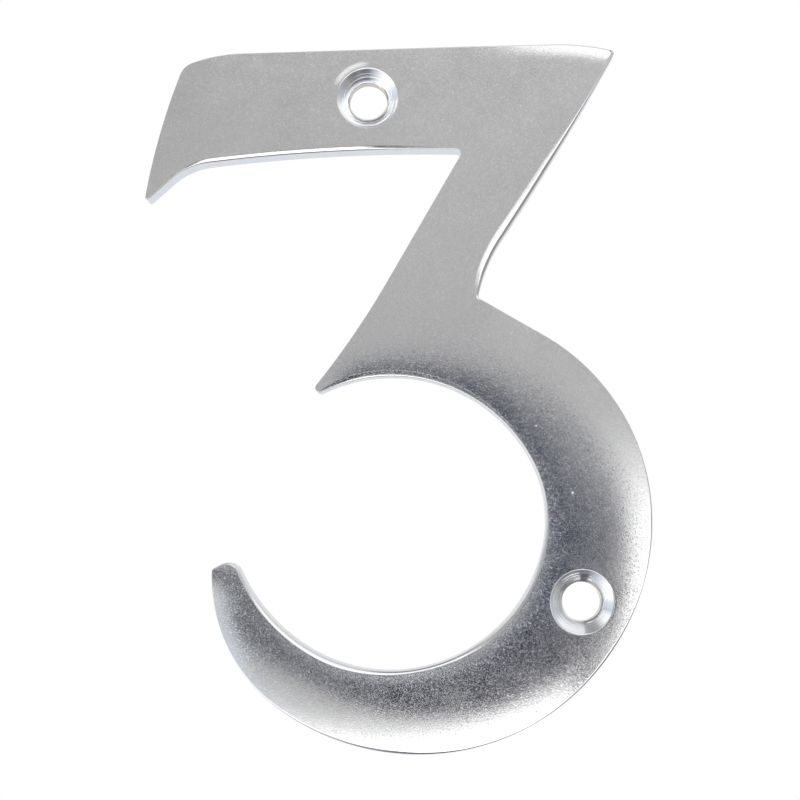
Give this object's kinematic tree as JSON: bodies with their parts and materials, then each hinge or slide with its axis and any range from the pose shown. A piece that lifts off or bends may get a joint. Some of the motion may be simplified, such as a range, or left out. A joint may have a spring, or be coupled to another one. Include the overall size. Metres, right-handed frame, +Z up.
{
  "type": "door number",
  "caption": "Flat cast door numeral in the shape of the figure three, satin chrome finish, flat back, countersunk screw holes in the top bar and in the bowl.",
  "frame": {"origin": "on the flat back, halfway between the centres of the screw holes", "axes": "+Z up and +X to the right as the numeral is read on the door; the front faces -Y and the flat back +Y, towards the door"},
  "size_m": [0.0539, 0.0023, 0.076],
  "materials": {
    "plate": "satin chrome plate over cast brass"
  },
  "bodies": {
    "root": {"numeral_three": "plate"}
  },
  "joints": []
}
